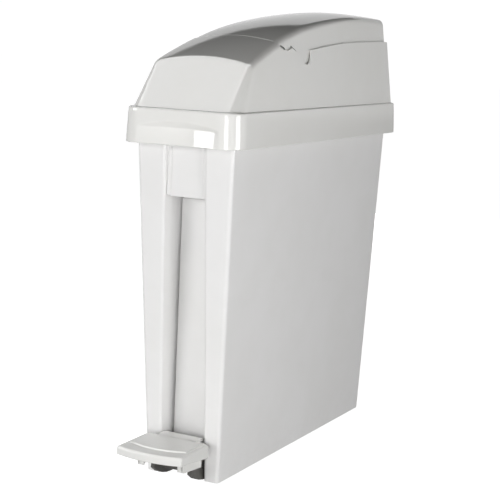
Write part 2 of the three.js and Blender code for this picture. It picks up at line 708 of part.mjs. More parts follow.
function addFlap() {
  const { rollerY, rollerZ, rollerPin } = ROCKER;
  add("rocker_lever", rockerLever(), COLOURS.dark, 0.55);
  add("rocker_roller", rockerRoller(), COLOURS.nylon, 0.5);
  add("roller_pin", barX(rollerPin, -8, 8, rollerY, rollerZ, 16), COLOURS.steel, 0.3, 0.9);
  add("flap_shell", flapShell(), COLOURS.lid, 0.12);
  add("flap_crank", flapCrank(), COLOURS.dark, 0.55);
  for (const [name, side] of sides) {
    add(`crank_screw_${name}`, crankScrew(side), COLOURS.steel, 0.35, 0.9);
  }
}

function addLiner() {
  add("liner_bucket", linerBucket(), COLOURS.liner, 0.45);
  for (const [name, side] of sides) {
    add(`bail_boss_${name}`, bailBoss(side), COLOURS.liner, 0.45);
  }
  add("liner_bail", bail(), COLOURS.steel, 0.3, 0.9);
}

addTub();
addPedal();
addRod();
addLid();
addFlap();
addLiner();
bin.position.y = OFFSET_Y;

const root = new THREE.Group();
root.add(bin);
export default root;
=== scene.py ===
"""A slim white pedal bin in a soft studio: its looks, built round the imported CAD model."""
import json
import math

import bmesh
import bpy
import numpy as np
from mathutils import Matrix, Vector
from mathutils.bvhtree import BVHTree

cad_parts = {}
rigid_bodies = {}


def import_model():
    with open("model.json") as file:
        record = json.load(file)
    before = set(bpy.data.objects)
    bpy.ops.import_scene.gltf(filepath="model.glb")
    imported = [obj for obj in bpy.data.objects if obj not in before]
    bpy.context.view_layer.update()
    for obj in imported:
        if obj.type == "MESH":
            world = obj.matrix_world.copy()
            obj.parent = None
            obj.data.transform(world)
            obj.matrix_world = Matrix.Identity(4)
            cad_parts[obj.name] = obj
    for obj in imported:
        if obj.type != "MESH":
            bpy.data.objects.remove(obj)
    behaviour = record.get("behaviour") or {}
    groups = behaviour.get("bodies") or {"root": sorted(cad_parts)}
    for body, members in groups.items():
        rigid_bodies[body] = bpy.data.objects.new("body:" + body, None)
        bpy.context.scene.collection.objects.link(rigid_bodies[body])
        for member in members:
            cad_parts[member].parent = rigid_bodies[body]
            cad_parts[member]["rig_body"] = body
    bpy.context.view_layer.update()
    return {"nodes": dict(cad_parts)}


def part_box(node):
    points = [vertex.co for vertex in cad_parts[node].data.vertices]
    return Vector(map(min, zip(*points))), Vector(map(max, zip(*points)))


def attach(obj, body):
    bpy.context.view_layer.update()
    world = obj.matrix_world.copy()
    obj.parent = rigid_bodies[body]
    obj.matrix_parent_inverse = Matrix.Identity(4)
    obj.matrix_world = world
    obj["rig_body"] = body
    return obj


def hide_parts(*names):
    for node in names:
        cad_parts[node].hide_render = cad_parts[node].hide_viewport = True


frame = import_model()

scene = bpy.context.scene
MM = 0.001
BAND_LOW, BAND_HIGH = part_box("lid_band")
SHIFT = (BAND_LOW.y + BAND_HIGH.y) / 2  # the shapes below are drawn in mm from the lid band's middle

# ---- Camera ----------------------------------------------------------------------------
CAMERA_AT = (781.5, -1578.1, 525.0)
CAMERA_YAW, CAMERA_PITCH, CAMERA_ROLL = (math.radians(a) for a in (27.06, -8.98, 2.49))
CAMERA_LENS = 100.57
SENSOR_WIDTH = 36
CLIP_NEAR, CLIP_FAR = 0.05, 60  # m


def add_camera():
    ahead = Vector((
        -math.sin(CAMERA_YAW) * math.cos(CAMERA_PITCH),
        math.cos(CAMERA_YAW) * math.cos(CAMERA_PITCH),
        math.sin(CAMERA_PITCH),
    ))
    level = Vector((math.cos(CAMERA_YAW), math.sin(CAMERA_YAW), 0))
    above = level.cross(ahead)
    right = math.cos(CAMERA_ROLL) * level + math.sin(CAMERA_ROLL) * above
    up = -math.sin(CAMERA_ROLL) * level + math.cos(CAMERA_ROLL) * above
    data = bpy.data.cameras.new("camera")
    data.lens = CAMERA_LENS
    data.sensor_width = SENSOR_WIDTH
    data.clip_start, data.clip_end = CLIP_NEAR, CLIP_FAR
    camera = bpy.data.objects.new("camera", data)
    scene.collection.objects.link(camera)
    turn = Matrix((right, up, -ahead)).transposed().to_4x4()
    camera.matrix_world = Matrix.Translation(at(CAMERA_AT)) @ turn
    scene.camera = camera


def at(point):
    """A drawn point, in mm from the band's middle, as a place in the row frame in metres."""
    x, y, z = point
    return Vector((x * MM, y * MM + SHIFT, z * MM))


# ---- Materials -------------------------------------------------------------------------
PLASTIC_IOR = 1.5
DIRT = (0.36, 0.33, 0.28)
DIRT_HEIGHT = 0.07  # m, how far dust reaches up from the floor
ROUGHNESS_SPREAD = 0.025  # most that rubbing changes a moulding's roughness


class Shader:
    """A Principled material under construction, with a few procedural layers."""

    def __init__(self, name, colour, roughness, metallic=0.0):
        self.material = bpy.data.materials.new(name)
        self.material.use_nodes = True
        self.tree = self.material.node_tree
        self.surface = self.tree.nodes["Principled BSDF"]
        self.surface.inputs["Metallic"].default_value = metallic
        self.surface.inputs["IOR"].default_value = PLASTIC_IOR
        self.surface.inputs["Base Color"].default_value = (*colour, 1)
        self.surface.inputs["Roughness"].default_value = roughness
        self.roughness = roughness
        self.place = self.node("ShaderNodeTexCoord").outputs["Object"]
        self.height = None

    def node(self, kind, **settings):
        made = self.tree.nodes.new(kind)
        for key, value in settings.items():
            setattr(made, key, value)
        return made

    def link(self, output, socket):
        self.tree.links.new(output, socket)

    def noise(self, scale, detail=3.0, rough=0.5, stretch=None):
        texture = self.node("ShaderNodeTexNoise")
        texture.inputs["Scale"].default_value = scale
        texture.inputs["Detail"].default_value = detail
        texture.inputs["Roughness"].default_value = rough
        place = self.place
        if stretch:
            mapping = self.node("ShaderNodeMapping")
            mapping.inputs["Scale"].default_value = stretch
            self.link(place, mapping.inputs["Vector"])
            place = mapping.outputs["Vector"]
        self.link(place, texture.inputs["Vector"])
        return texture.outputs["Fac"]

    def ramp(self, value, low, high, from_low=0.0, from_high=1.0):
        scale = self.node("ShaderNodeMapRange", interpolation_type="SMOOTHSTEP")
        limits = {"From Min": from_low, "From Max": from_high, "To Min": low, "To Max": high}
        for key, number in limits.items():
            scale.inputs[key].default_value = number
        self.link(value, scale.inputs["Value"])
        return scale.outputs["Result"]

    def mix(self, amount, first, second):
        blend = self.node("ShaderNodeMix", data_type="RGBA")
        for key, colour in (("A", first), ("B", second)):
            socket = [s for s in blend.inputs if s.name == key and s.type == "RGBA"][0]
            if isinstance(colour, tuple):
                socket.default_value = (*colour, 1)
            else:
                self.link(colour, socket)
        self.link(amount, blend.inputs["Factor"])
        return [s for s in blend.outputs if s.type == "RGBA"][0]

    def colour(self, output):
        self.link(output, self.surface.inputs["Base Color"])

    def vary_roughness(self, value, spread, from_low=0.3, from_high=0.7):
        self.link(
            self.ramp(value, self.roughness - spread, self.roughness + spread, from_low, from_high),
            self.surface.inputs["Roughness"],
        )

    def bump(self, value, strength, depth_mm):
        bump = self.node("ShaderNodeBump")
        bump.inputs["Strength"].default_value = strength
        bump.inputs["Distance"].default_value = depth_mm * MM
        self.link(value, bump.inputs["Height"])
        if self.height:
            self.link(self.height, bump.inputs["Normal"])
        self.height = bump.outputs["Normal"]
        self.link(self.height, self.surface.inputs["Normal"])

    def axis(self, name):
        split = self.node("ShaderNodeSeparateXYZ")
        self.link(self.place, split.inputs["Vector"])
        return split.outputs[name]


def moulded(name, colour, aged, roughness, grain_mm, grain, dirt=0.0):
    """Moulded plastic: a cloudy colour, sink marks, a fine grain, faint rubbing and dust near the floor."""
    shader = Shader(name, colour, roughness)
    cloud = shader.noise(9, detail=4, rough=0.6)
    tint = shader.mix(shader.ramp(cloud, 0, 1, 0.35, 0.7), colour, aged)
    if dirt:
        low = shader.ramp(shader.axis("Z"), dirt, 0, 0.0, DIRT_HEIGHT)
        patch = shader.node("ShaderNodeMath", operation="MULTIPLY")
        shader.link(low, patch.inputs[0])
        spots = shader.ramp(shader.noise(60, detail=6, rough=0.7), 0, 1, 0.35, 0.75)
        shader.link(spots, patch.inputs[1])
        tint = shader.mix(patch.outputs["Value"], tint, DIRT)
    shader.colour(tint)
    rub = shader.noise(26, detail=6, rough=0.65, stretch=(1, 1, 0.35))
    shader.vary_roughness(rub, min(roughness * 0.25, ROUGHNESS_SPREAD))
    shader.bump(shader.noise(5, detail=1), 0.5, 0.25)
    shader.bump(shader.noise(1000 / grain_mm, detail=2), grain, 0.05)
    return shader.material


def metal(name, colour, roughness, stretch):
    """Plated steel with drawn lines along one axis and dull patches."""
    shader = Shader(name, colour, roughness, metallic=1.0)
    lines = shader.noise(900, detail=3, stretch=stretch)
    patches = shader.noise(45, detail=5, rough=0.6)
    dull = tuple(c * 0.72 for c in colour)
    shader.colour(shader.mix(shader.ramp(patches, 0, 1, 0.4, 0.75), colour, dull))
    shader.vary_roughness(patches, 0.09)
    shader.bump(lines, 0.25, 0.03)
    return shader.material


def matte(name, colour, pale, roughness, grain_mm, grain):
    """Dull plastic or rubber: a coarse grain, with patches rubbed paler."""
    shader = Shader(name, colour, roughness)
    patches = shader.noise(70, detail=5, rough=0.65)
    shader.colour(shader.mix(shader.ramp(patches, 0, 1, 0.4, 0.8), colour, pale))
    shader.vary_roughness(patches, 0.07)
    shader.bump(shader.noise(1000 / grain_mm, detail=3), grain, 0.12)
    return shader.material


MATERIALS = {
    "body_plastic": moulded(
        "body_plastic", (0.875, 0.87, 0.865), (0.85, 0.845, 0.835), 0.34, 0.9, 0.12, dirt=0.06),
    "cover_plastic": moulded(
        "cover_plastic", (0.865, 0.86, 0.855), (0.845, 0.84, 0.83), 0.3, 0.9, 0.1),
    "lid_plastic": moulded(
        "lid_plastic", (0.86, 0.856, 0.832), (0.84, 0.835, 0.805), 0.08, 1.6, 0.03),
    "pedal_plastic": moulded(
        "pedal_plastic", (0.84, 0.84, 0.82), (0.8, 0.795, 0.77), 0.2, 1.2, 0.06, dirt=0.05),
    "dark_plastic": matte(
        "dark_plastic", (0.075, 0.072, 0.066), (0.13, 0.125, 0.115), 0.5, 0.8, 0.3),
    "guide_plastic": matte(
        "guide_plastic", (0.72, 0.68, 0.58), (0.78, 0.75, 0.66), 0.42, 1.2, 0.15),
    "liner_plastic": matte(
        "liner_plastic", (0.42, 0.44, 0.47), (0.47, 0.49, 0.52), 0.45, 1.4, 0.15),
    "rubber": matte("rubber", (0.022, 0.022, 0.023), (0.05, 0.05, 0.05), 0.75, 0.6, 0.4),
    "steel": metal("steel", (0.6, 0.61, 0.63), 0.3, (1, 1, 0.05)),
}


# ---- Pieces ----------------------------------------------------------------------------
EDGE_ANGLE = 50  # degrees: sharper edges of a CAD node are rounded


def new_object(name, data):
    made = bpy.data.objects.new(name, data)
    scene.collection.objects.link(made)
    return made


def mesh_of(name, points, faces):
    """A mesh from drawn points, its doubled points joined and its faces turned outwards."""
    form = bmesh.new()
    corners = [form.verts.new(at(p)) for p in points]
    for face in faces:
        unique = list(dict.fromkeys(face))
        if len(unique) > 2:
            form.faces.new([corners[i] for i in unique])
    bmesh.ops.remove_doubles(form, verts=form.verts, dist=1e-6)
    bmesh.ops.dissolve_degenerate(form, edges=form.edges, dist=1e-6)
    bmesh.ops.recalc_face_normals(form, faces=form.faces)
    mesh = bpy.data.meshes.new(name)
    form.to_mesh(mesh)
    form.free()
    return mesh


def shade(mesh, sharp_degrees):
    mesh.shade_smooth()
    mesh.set_sharp_from_angle(angle=math.radians(sharp_degrees))


def weigh_normals(piece, weight=50):
    """Large faces keep their shading flat beside rounded edges."""
    weigh = piece.modifiers.new("normals", "WEIGHTED_NORMAL")
    weigh.keep_sharp = True
    weigh.weight = weight


def finish_piece(piece, node, slot):
    """The piece takes its finish, rides on the node's body and stands for the node."""
    piece.data.materials.clear()
    piece.data.materials.append(MATERIALS[slot])
    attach(piece, frame["nodes"][node]["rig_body"])
    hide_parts(node)


def finish_extra(piece, body, slot):
    """The piece takes its finish and rides on the body, beside the pieces that stand for nodes."""
    piece.data.materials.append(MATERIALS[slot])
    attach(piece, body)


def round_edges(piece, width_mm, segments=2):
    bevel = piece.modifiers.new("edges", "BEVEL")
    bevel.width = width_mm * MM
    bevel.segments = segments
    bevel.limit_method = "ANGLE"
    return bevel


def rounded_copy(node, slot, width_mm, segments):
    """A copy of a CAD node with merged faces and rounded edges, which stands for the node."""
    form = bmesh.new()
    form.from_mesh(frame["nodes"][node].data)
    bmesh.ops.remove_doubles(form, verts=form.verts, dist=2e-6)
    bmesh.ops.dissolve_limit(form, angle_limit=math.radians(1), verts=form.verts, edges=form.edges)
    mesh = bpy.data.meshes.new(node + "_form")
    form.to_mesh(mesh)
    form.free()
    if "custom_normal" in mesh.attributes:
        mesh.attributes.remove(mesh.attributes["custom_normal"])
    piece = new_object(node + "_piece", mesh)
    shade(mesh, 180)
    bevel = round_edges(piece, width_mm, segments)
    bevel.angle_limit = math.radians(EDGE_ANGLE)
    bevel.miter_outer = "MITER_ARC"
    weigh_normals(piece, 80)
    finish_piece(piece, node, slot)


def apply_modifiers(piece):
    evaluated = piece.evaluated_get(bpy.context.evaluated_depsgraph_get())
    mesh = bpy.data.meshes.new_from_object(evaluated)
    piece.modifiers.clear()
    piece.data = mesh


def carve(piece, tool, operation="DIFFERENCE"):
    """Cuts a mesh out of a piece, or keeps only what lies inside it."""
    cutter = new_object("cutter", tool)
    change = piece.modifiers.new("cut", "BOOLEAN")
    change.operation = operation
    change.solver = "EXACT"
    change.object = cutter
    bpy.context.view_layer.update()
    apply_modifiers(piece)
    bpy.data.objects.remove(cutter)


def follow_normals(piece, source, reach_mm=0.06):
    """Where the piece's faces lie on the source's surface, they take its smooth normals."""
    source.shade_smooth()
    form = bmesh.new()
    form.from_mesh(source)
    bmesh.ops.triangulate(form, faces=form.faces)
    form.normal_update()
    tree = BVHTree.FromBMesh(form)
    form.faces.ensure_lookup_table()
    mesh = piece.data
    normals = []
    for face in mesh.polygons:
        for index in face.vertices:
            place = mesh.vertices[index].co
            spot, flat, number, distance = tree.find_nearest(place)
            if spot is None or distance > reach_mm * MM or flat.dot(face.normal) < 0.9:
                normals.append(tuple(face.normal))
                continue
            corners = form.faces[number].verts
            a, b, c = (v.co for v in corners)
            area = (b - a).cross(c - a)
            size = max(area.length_squared, 1e-30)
            u = (c - b).cross(spot - b).dot(area) / size
            v = (a - c).cross(spot - c).dot(area) / size
            smooth = corners[0].normal * u + corners[1].normal * v + corners[2].normal * (1 - u - v)
            normals.append(tuple(smooth.normalized()))
    form.free()
    mesh.normals_split_custom_set(normals)


# ---- Outlines and lofts ----------------------------------------------------------------
def arc(cx, cy, radius, start, end, steps):
    angles = np.radians(np.linspace(start, end, steps + 1))
    return [(cx + radius * math.cos(a), cy + radius * math.sin(a)) for a in angles]


def rounded_rect(half, front, rear, corner, sides=0, ends=0, steps=14):
    """A rounded rectangle, anticlockwise, with points along its long sides and its ends."""
    corners = [
        arc(half - corner, front + corner, corner, -90, 0, steps),
        arc(half - corner, rear - corner, corner, 0, 90, steps),
        arc(corner - half, rear - corner, corner, 90, 180, steps),
        arc(corner - half, front + corner, corner, 180, 270, steps),
    ]
    outline = []
    for i, points in enumerate(corners):
        outline += points
        start, end = np.array(points[-1]), np.array(corners[(i + 1) % 4][0])
        count = sides if i % 2 == 0 else ends
        outline += [tuple(start + (end - start) * (k + 1) / (count + 1)) for k in range(count)]
    return outline


def level(outline, z):
    return [(x, y, z) for x, y in outline]


def bridge(rings, close=False, cap_first=True, cap_last=True):
    """Points and faces of a skin over rings that hold the same number of points."""
    count = len(rings[0])
    faces = []
    for r in range(len(rings) if close else len(rings) - 1):
        for i in range(count):
            j = (i + 1) % count
            a, b = r * count, ((r + 1) % len(rings)) * count
            faces.append((a + i, a + j, b + j, b + i))
    if not close and cap_first:
        faces.append(tuple(reversed(range(count))))
    if not close and cap_last:
        faces.append(tuple((len(rings) - 1) * count + i for i in range(count)))
    return [p for ring in rings for p in ring], faces


def skin(name, rings, **options):
    return mesh_of(name, *bridge(rings, **options))


def prism(name, profile, x0=-100, x1=100):
    """A solid across the bin from an outline drawn in (y, z)."""
    return skin(name, [[(x, y, z) for y, z in profile] for x in (x0, x1)])


# ---- Tub -------------------------------------------------------------------------------
TUB_HALF, TUB_FRONT, TUB_REAR = (48.2, 0.0366), (-199.5, -0.053), (219.7, 0.0183)
TUB_CORNERS, TUB_WALL = (4.5, 12), 2.6
CHANNEL_HALF, CHANNEL_BACK, CHANNEL_EDGE = (29.3, -0.0095), -163.5, 3.4
TUB_TOP, TUB_FLOOR, TUB_UNDER = 430.9, 27, 24
WITNESS = 222  # where two moulds met: a shallow line all round


def tub_outline(z, inset):
    half, front, rear = (base + lean * z for base, lean in (TUB_HALF, TUB_FRONT, TUB_REAR))
    half, front, rear = half - inset, front + inset, rear - inset
    corner, rear_corner = (max(radius - inset, 1) for radius in TUB_CORNERS)
    edge = max(CHANNEL_EDGE - inset, 0.8)
    notch, back, fillet = CHANNEL_HALF[0] + CHANNEL_HALF[1] * z + inset, CHANNEL_BACK + inset, 1.5
    return level([
        *arc(half - corner, front + corner, corner, -90, 0, 14),
        *arc(half - rear_corner, rear - rear_corner, rear_corner, 0, 90, 14),
        *arc(rear_corner - half, rear - rear_corner, rear_corner, 90, 180, 14),
        *arc(corner - half, front + corner, corner, 180, 270, 14),
        *arc(-notch - edge, front + edge, edge, -90, 0, 12),
        *arc(fillet - notch, back - fillet, fillet, 180, 90, 4),
        *arc(notch - fillet, back - fillet, fillet, 90, 0, 4),
        *arc(notch + edge, front + edge, edge, 180, 270, 12),
    ], z)


def add_tub():
    levels = [
        (TUB_UNDER, TUB_WALL), (3, TUB_WALL), (1.3, TUB_WALL - 0.3), (1, TUB_WALL - 0.9), (1, 1),
        (1.25, 0.35), (2, 0), (110, 0), (WITNESS - 0.7, 0), (WITNESS - 0.25, 0.22),
        (WITNESS + 0.25, 0.22), (WITNESS + 0.7, 0), (330, 0), (422.5, 0), (424, -0.6), (426, -2.9),
        (427, -3.3), (429.8, -3.4), (430.6, -3), (TUB_TOP, -2.2), (TUB_TOP, 1.6), (430.5, 2.4),
        (429, TUB_WALL), (240, TUB_WALL), (TUB_FLOOR + 3, TUB_WALL),
        (TUB_FLOOR + 0.8, TUB_WALL + 0.8), (TUB_FLOOR, TUB_WALL + 3),
    ]
    mesh = skin("bin_body_form", [tub_outline(z, inset) for z, inset in levels])
    shade(mesh, 40)
    piece = new_object("tub", mesh)
    weigh_normals(piece, 80)
    finish_piece(piece, "bin_body", "body_plastic")


# ---- Lid -------------------------------------------------------------------------------
BAND_BOTTOM, BAND_TOP, BAND_HALF, BAND_REACH, BAND_CORNER, BAND_WALL = 393.2, 433.8, 76.1, 240, 24, 2.5
MOUTH_HALF, MOUTH_FRONT, MOUTH_REAR, MOUTH_CORNER = 53, -138, 221, 12
GRIP_RADIUS, GRIP_END = 163, 51  # the finger grip's curve, and where it runs out sideways
GRIP_TOP, GRIP_SLOPE = 413, 1.1  # it slopes out above this height
GRIP_LEAN, GRIP_LOW = 0.075, 1.2  # it gets deeper towards its top
GRIP_SOFT, GRIP_BLEND = 0.6, 5  # rounding of its edges, and the width over which the lean fades in


def grip_depth(x, z):
    """How far the finger grip goes back into the band's front at x and z, with softened edges."""
    if abs(x) > GRIP_END + 9:
        return 0
    depth = math.sqrt(GRIP_RADIUS ** 2 - x * x) - math.sqrt(GRIP_RADIUS ** 2 - GRIP_END ** 2)
    inside = min(max((GRIP_END - abs(x)) / GRIP_BLEND, 0), 1)
    depth += ((min(z, GRIP_TOP) - BAND_BOTTOM) * GRIP_LEAN - GRIP_LOW) * inside
    depth -= max(0, z - GRIP_TOP) * GRIP_SLOPE
    return (depth + math.sqrt(depth * depth + GRIP_SOFT ** 2)) / 2 if depth > -4 else 0


def add_band():
    half_at = {
        393.9: 76.05, 400: 75.82, 406: 75.6, 411: 75.4, 412.5: 75.35, 413.2: 75.3, 414: 75.27,
        415: 75.24, 416: 75.2, 417: 75.16, 418: 75.12, 419: 75.08, 420: 75.04, 421: 75, 426: 74.8,
        431.6: 74.58, 432.8: 74.3, 433.5: 73.7, BAND_TOP: 72.8,
    }
    detail = {"sides": 24, "ends": 120, "steps": 28}

    def ring(z, half, inset=0.0):
        reach = BAND_REACH - (BAND_HALF - half)
        points = rounded_rect(
            half=half - inset, front=inset - reach, rear=reach - inset, corner=BAND_CORNER - inset, **detail)
        front = inset - reach + 0.01
        return [(x, y + (grip_depth(x, z) if y < front else 0), z) for x, y in points]

    def mouth(z, out):
        return level(rounded_rect(
            half=MOUTH_HALF + out, front=MOUTH_FRONT - out, rear=MOUTH_REAR + out,
            corner=MOUTH_CORNER + out, **detail), z)

    rings = [ring(BAND_BOTTOM + 0.1, 75.5), *[ring(z, half) for z, half in half_at.items()]]
    rings += [mouth(z, out) for z, out in (
        (BAND_TOP, 0.8), (433.5, 0.2), (432.8, 0), (421.6, 0),
        (421, 0.6), (421, 1.4), (421.6, 1.8), (430.6, 1.8))]
    rings += [ring(431.3, 74.4, 3.4), ring(430, 74.6, BAND_WALL)]
    rings += [ring(z, half_at[z], BAND_WALL) for z in reversed(half_at) if z < 430]
    rings += [ring(BAND_BOTTOM, 75.5, 2.0), ring(BAND_BOTTOM, 75.5, 0.4)]
    mesh = skin("lid_band_form", rings, close=True)
    shade(mesh, 42)
    piece = new_object("band", mesh)
    weigh_normals(piece, 60)
    finish_piece(piece, "lid_band", "lid_plastic")


# ---- Hood and flap ---------------------------------------------------------------------
HOOD_BASE, HOOD_HALF, HOOD_FRONT, HOOD_REAR = 433.9, 71.4, -231.6, 235.3
HOOD_CORNER, HOOD_LEAN, HOOD_WALL, FLANGE_THICK = 24, 0.15, 1.8, 2.5
CREST_FRONT, CREST_REAR, CREST_CORNER, CREST_HALF, CROWN = -187.6, 227, 7.5, 60, 0.002
MIDDLE_FRONT, MIDDLE_REAR = CREST_FRONT + 62, CREST_REAR - 58  # ends of the top's middle line
ROLL_FRONT, ROLL_SIDE, ROLL_REAR = 3.7, 7.8, 4.9
RIDGE = np.array([
    (-240, 472), (-181, 495.2), (-120, 515.1), (-60, 529.8),
    (0, 539.6), (60, 546.2), (120, 550.3), (175, 550.4), (235, 548.6),
])
SEAM = [(-112.5, 503.6), (-107, 503.6), (-93, 501.6), (-80, 505), (-65, 498), (-57.5, 497)]
SEAM_REAR = [(-29.6, 503), (10, 507), (40, 509.7), (71, 512), (103, 513.3), (170, 515.1), (260, 515.6)]
SLITS = [  # clearance at the hood's edge: two ends and the height of the opening
    ((-106.5, 506.6), (-94, 501.9), 2.3),
    ((-79.5, 504.8), (-65.5, 498.2), 3.2),
]
PIVOT = (-43.5, 500)
EAR_RADIUS, BOSS_RADIUS, FLAP_OVERLAP = 14, 15.5, 4
FLAP_SIDE, FLAP_REAR, FLAP_WALL = 3.1, 3.3, 2
PIN_BORE, PIN_REACH = 3.25, 56.8
ABOVE_LID = 600


def spline(points, samples):
    """A natural cubic spline through points of rising first value, sampled evenly."""
    x, y = points[:, 0].astype(float), points[:, 1].astype(float)
    h = np.diff(x)
    n = len(x)
    system, right = np.eye(n), np.zeros(n)
    for i in range(1, n - 1):
        system[i, i - 1:i + 2] = h[i - 1], 2 * (h[i - 1] + h[i]), h[i]
        right[i] = 6 * ((y[i + 1] - y[i]) / h[i] - (y[i] - y[i - 1]) / h[i - 1])
    bend = np.linalg.solve(system, right)
    at_x = np.linspace(x[0], x[-1], samples)
    i = np.clip(np.searchsorted(x, at_x) - 1, 0, n - 2)
    a, b = (x[i + 1] - at_x) / h[i], (at_x - x[i]) / h[i]
    curve = a * y[i] + b * y[i + 1] + ((a ** 3 - a) * bend[i] + (b ** 3 - b) * bend[i + 1]) * h[i] ** 2 / 6
    return at_x, curve


RIDGE_Y, RIDGE_Z = spline(RIDGE, 2001)


def lid_top(x, y):
    """Height of the lid's top over (x, y)."""
    return np.interp(y, RIDGE_Y, RIDGE_Z) - CROWN * x * x


def lid_form(name, side=0, rear=0, top=0, base=HOOD_BASE, closed=True):
    """The lid's outer form, moved inwards at its sides, rear and top."""
    detail = {"sides": 60, "ends": 24, "steps": 12}
    foot = np.array(level(rounded_rect(
        half=HOOD_HALF - side, front=HOOD_FRONT + side, rear=HOOD_REAR - rear, corner=HOOD_CORNER, **detail,
    ), HOOD_BASE))
    plan = np.array(rounded_rect(
        half=CREST_HALF, front=CREST_FRONT + side, rear=CREST_REAR - rear, corner=CREST_CORNER, **detail,
    ))
    x, y = plan[:, 0], plan[:, 1]
    wide = x.copy()
    for _ in range(12):
        wide = x * (HOOD_HALF - side - HOOD_LEAN * (lid_top(wide, y) - top - HOOD_BASE)) / CREST_HALF
    crest = np.column_stack([wide, y, lid_top(wide, y) - top])
    inner = np.column_stack([np.zeros(len(x)), np.clip(y, MIDDLE_FRONT, MIDDLE_REAR)])
    # The edge rolls over more at the sides than at the two ends.
    beside = np.maximum(np.abs(x) - CREST_HALF + CREST_CORNER, 0)
    before = np.maximum(CREST_FRONT + side + CREST_CORNER - y, 0)
    behind = np.maximum(y - CREST_REAR + rear + CREST_CORNER, 0)
    along = (before + behind) ** 2 / (beside ** 2 + (before + behind) ** 2)
    roll = ROLL_SIDE * (1 - along) + np.where(before > 0, ROLL_FRONT, ROLL_REAR) * along

    def towards(start, end, distance):
        gap = end - start
        return start + gap * (distance / np.linalg.norm(gap, axis=1))[:, None]

    def top_ring(plan_points):
        return np.column_stack([plan_points, lid_top(plan_points[:, 0], plan_points[:, 1]) - top])

    low = towards(crest, foot, roll)
    high_plan = towards(crest[:, :2], inner, roll)
    high = top_ring(high_plan)
    rings = [foot] if base >= HOOD_BASE else [foot * (1, 1, 0) + (0, 0, base), foot]
    rings += [foot + (low - foot) * t for t in np.linspace(0, 1, 9)[1:-1]]
    rings += [(1 - t) ** 2 * low + 2 * t * (1 - t) * crest + t * t * high for t in np.linspace(0, 1, 11)]
    rings += [top_ring(high_plan + (inner - high_plan) * t) for t in np.linspace(0, 1, 17)[1:]]
    return skin(name, [[tuple(p) for p in ring] for ring in rings], cap_first=closed, cap_last=False)


def cylinder_across(name, radius, centre, steps=72, **ends):
    return prism(name, arc(*centre, radius, 0, 360 - 360 / steps, steps - 1), **ends)


def add_hood():
    piece = new_object("hood", lid_form("hood_outer"))
    carve(piece, lid_form("hood_inner", side=HOOD_WALL, rear=HOOD_WALL, top=HOOD_WALL, base=HOOD_BASE - 4))
    carve(piece, prism("above_seam", [(-112.5, ABOVE_LID), *SEAM, *SEAM_REAR, (260, ABOVE_LID)]))
    carve(piece, cylinder_across("ear_notch", EAR_RADIUS, PIVOT))
    follow_normals(piece, lid_form("hood_face", closed=False))
    finish_piece(piece, "hood_shell", "lid_plastic")

    def flange_ring(z, side, front, rear, corner):
        return level(rounded_rect(
            half=HOOD_HALF - side, front=HOOD_FRONT + front, rear=HOOD_REAR - rear, corner=corner), z)

    low, high = HOOD_BASE, HOOD_BASE + FLANGE_THICK
    rings = [flange_ring(z, 1, 2.6, 1.2, 23) for z in (low, high)]
    rings += [flange_ring(z, 9, 12, 9, 15) for z in (high, low)]
    flange = new_object("hood_flange", skin("hood_flange_form", rings, close=True))
    shade(flange.data, 40)
    finish_extra(flange, "lid", "lid_plastic")


def add_flap():
    piece = new_object("flap", lid_form("flap_outer", side=FLAP_SIDE, rear=FLAP_REAR))
    carve(piece, lid_form(
        "flap_inner", side=FLAP_SIDE + FLAP_WALL, rear=FLAP_REAR + FLAP_WALL, top=FLAP_WALL,
        base=HOOD_BASE - 4))
    lower = [(-111.5, ABOVE_LID), (-111.5, 499), (-64, 494), (-56.5, 487.5)]
    ear = arc(*PIVOT, BOSS_RADIUS, 222, 345, 28)
    rear = [(y, z - FLAP_OVERLAP) for y, z in SEAM_REAR if y > -20]
    carve(piece, prism("flap_region", [*lower, *ear, *rear, (260, ABOVE_LID)]), "INTERSECT")
    carve(piece, cylinder_across("pin_bore", PIN_BORE, PIVOT, steps=32, x0=-PIN_REACH, x1=PIN_REACH))
    for (y0, z0), (y1, z1), open_by in SLITS:
        slit = [(y0, z0), (y1, z1), (y1 + open_by / 2, z1 + open_by), (y0 + open_by / 2, z0 + open_by)]
        carve(piece, prism("slit", slit))
    follow_normals(piece, lid_form("flap_face", side=FLAP_SIDE, rear=FLAP_REAR, closed=False))
    finish_piece(piece, "flap_shell", "lid_plastic")


# ---- Pedal -----------------------------------------------------------------------------
PEDAL_HALF, PEDAL_REAR, PEDAL_FRONT_SIDE, PEDAL_FRONT_MIDDLE, PEDAL_CORNER = 43, -215, -276.5, -283.5, 3
TREAD_HALF, TREAD_FRONT_SIDE, TREAD_FRONT_MIDDLE, TREAD_CORNER = 37.5, -255.6, -265, 2.5


def pedal_outline(half, rear, front_side, front_middle, corner, steps=40):
    """Straight sides and rear, a front edge that bows forwards, and softened corners."""
    bow = []
    for t in np.linspace(-1, 1, steps + 1):
        x = t * (half - corner)
        bow.append((x, front_middle + (front_side - front_middle) * (x / half) ** 2))
    side_y = bow[-1][1]
    right = arc(half - corner, side_y + corner, corner, -80, 0, 8)
    left = [(-x, y) for x, y in reversed(right)]
    run = np.linspace(side_y + corner, rear, 16)[1:]
    return [*bow, *right, *[(half, y) for y in run], *[(-half, y) for y in reversed(run)], *left]


